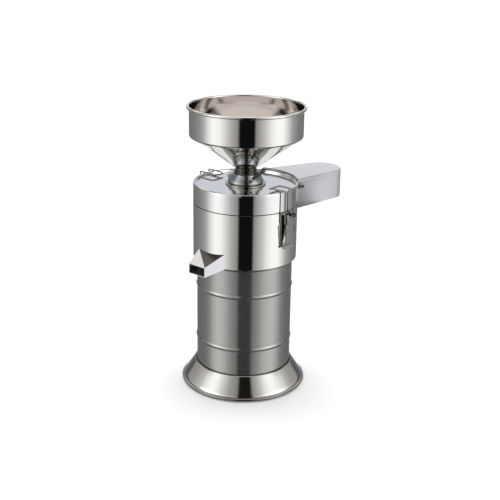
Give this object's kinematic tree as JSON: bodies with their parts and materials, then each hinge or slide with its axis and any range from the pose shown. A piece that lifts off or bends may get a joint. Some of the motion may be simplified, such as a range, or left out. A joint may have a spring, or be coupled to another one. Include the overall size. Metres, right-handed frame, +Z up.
{
  "type": "soybean grinder",
  "caption": "Upright electric soybean grinder with a feed hopper, grinding stones under a latched lid, a sieve basket, a front milk spout and a covered side chute for residue.",
  "frame": {"origin": "on the floor, on the axis of the shaft", "axes": "+Z up along the shaft; the milk spout points to -Y and the latches stand near +X and -X; the residue chute points back, 13 degrees from +Y towards +X"},
  "size_m": [0.29, 0.425, 0.655],
  "materials": {
    "base_skirt": "polished",
    "base_plate": "matt",
    "rubber_feet": "matt",
    "foot_screws": "plain",
    "lower_casing": "satin",
    "motor_plate": "cast",
    "motor_shell": "cast",
    "stator_core": "plain",
    "stator_windings": "varnished",
    "motor_bearings": "ground",
    "motor_bolts": "plain",
    "capacitor": "satin",
    "capacitor_clip": "plain",
    "switch_frame": "satin",
    "cable_gland": "satin",
    "upper_casing": "mirror polished",
    "milk_spout": "polished",
    "lid_gasket": "matt",
    "lid": "mirror polished",
    "residue_chute": "satin",
    "chute_weld": "rippled",
    "chute_screws": "plain",
    "lid_neck": "polished",
    "latch_bracket_right": "pressed",
    "latch_bracket_left": "pressed",
    "motor_shaft": "ground",
    "rotor_core": "plain",
    "cooling_fan": "satin",
    "slinger": "satin",
    "basket": "satin",
    "sieve_screen": "perforated",
    "lower_stone": "abrasive stone",
    "stone_nut": "plain",
    "stone_carrier": "turned",
    "upper_stone": "abrasive stone",
    "stone_bolts": "plain",
    "adjusting_ring": "cast",
    "ring_lever": "plain",
    "lever_grip": "knurled",
    "ring_lock_screw": "knurled",
    "hopper": "mirror polished",
    "hopper_collar": "turned",
    "latch_lever_right": "pressed",
    "latch_bail_right": "drawn wire",
    "latch_lever_left": "pressed",
    "latch_bail_left": "drawn wire",
    "switch_rocker": "gloss"
  },
  "bodies": {
    "housing": {"base_skirt": "base_skirt", "base_plate": "base_plate", "rubber_feet": "rubber_feet", "foot_screws": "foot_screws", "lower_casing": "lower_casing", "motor_plate": "motor_plate", "motor_shell": "motor_shell", "stator_core": "stator_core", "stator_windings": "stator_windings", "motor_bearings": "motor_bearings", "motor_bolts": "motor_bolts", "capacitor": "capacitor", "capacitor_clip": "capacitor_clip", "switch_frame": "switch_frame", "cable_gland": "cable_gland", "upper_casing": "upper_casing", "milk_spout": "milk_spout", "lid_gasket": "lid_gasket", "lid": "lid", "residue_chute": "residue_chute", "chute_weld": "chute_weld", "chute_screws": "chute_screws", "lid_neck": "lid_neck", "latch_bracket_right": "latch_bracket_right", "latch_bracket_left": "latch_bracket_left"},
    "rotor": {"motor_shaft": "motor_shaft", "rotor_core": "rotor_core", "cooling_fan": "cooling_fan", "slinger": "slinger", "basket": "basket", "sieve_screen": "sieve_screen", "lower_stone": "lower_stone", "stone_nut": "stone_nut"},
    "carrier": {"stone_carrier": "stone_carrier", "upper_stone": "upper_stone", "stone_bolts": "stone_bolts"},
    "ring": {"adjusting_ring": "adjusting_ring", "ring_lever": "ring_lever", "lever_grip": "lever_grip", "ring_lock_screw": "ring_lock_screw"},
    "feed_hopper": {"hopper": "hopper", "hopper_collar": "hopper_collar"},
    "lever_right": {"latch_lever_right": "latch_lever_right"},
    "bail_right": {"latch_bail_right": "latch_bail_right"},
    "lever_left": {"latch_lever_left": "latch_lever_left"},
    "bail_left": {"latch_bail_left": "latch_bail_left"},
    "rocker": {"switch_rocker": "switch_rocker"}
  },
  "joints": [
    {"name": "rotor_spin", "type": "hinge", "parent": "housing", "child": "rotor", "pos_m": [0, 0, 0.18], "axis": [0, 0, 1], "continuous": true},
    {"name": "carrier_slide", "type": "slide", "parent": "housing", "child": "carrier", "axis": [0, 0, 1], "range_m": [0, 0.003]},
    {"name": "ring_turn", "type": "hinge", "parent": "carrier", "child": "ring", "pos_m": [0, 0, 0.494], "axis": [0, 0, 1], "range_deg": [0, 180]},
    {"name": "hopper_lift", "type": "slide", "parent": "carrier", "child": "feed_hopper", "axis": [0, 0, 1], "range_m": [0, 0.045]},
    {"name": "right_latch_lever_hinge", "type": "hinge", "parent": "housing", "child": "lever_right", "pos_m": [0.1315, -0.00115, 0.425], "axis": [-0.0087, -1, 0], "range_deg": [0, 105]},
    {"name": "right_latch_bail_hinge", "type": "hinge", "parent": "lever_right", "child": "bail_right", "pos_m": [0.12849, -0.00112, 0.411], "axis": [-0.0087, -1, 0], "range_deg": [-122.85, 0]},
    {"name": "left_latch_lever_hinge", "type": "hinge", "parent": "housing", "child": "lever_left", "pos_m": [-0.1315, 0.00115, 0.425], "axis": [0.0087, 1, 0], "range_deg": [0, 105]},
    {"name": "left_latch_bail_hinge", "type": "hinge", "parent": "lever_left", "child": "bail_left", "pos_m": [-0.12849, 0.00112, 0.411], "axis": [0.0087, 1, 0], "range_deg": [-122.85, 0]},
    {"name": "switch_rock", "type": "hinge", "parent": "housing", "child": "rocker", "pos_m": [-0.07456, 0.08886, 0.186], "axis": [0.766, 0.6428, 0], "range_deg": [0, 11]}
  ],
  "couplings": [
    {"joint": "carrier_slide", "follows": "ring_turn", "m_per_rad": 0.00095493},
    {"joint": "right_latch_bail_hinge", "follows": "right_latch_lever_hinge", "ratio": -1.17},
    {"joint": "left_latch_bail_hinge", "follows": "left_latch_lever_hinge", "ratio": -1.17}
  ]
}
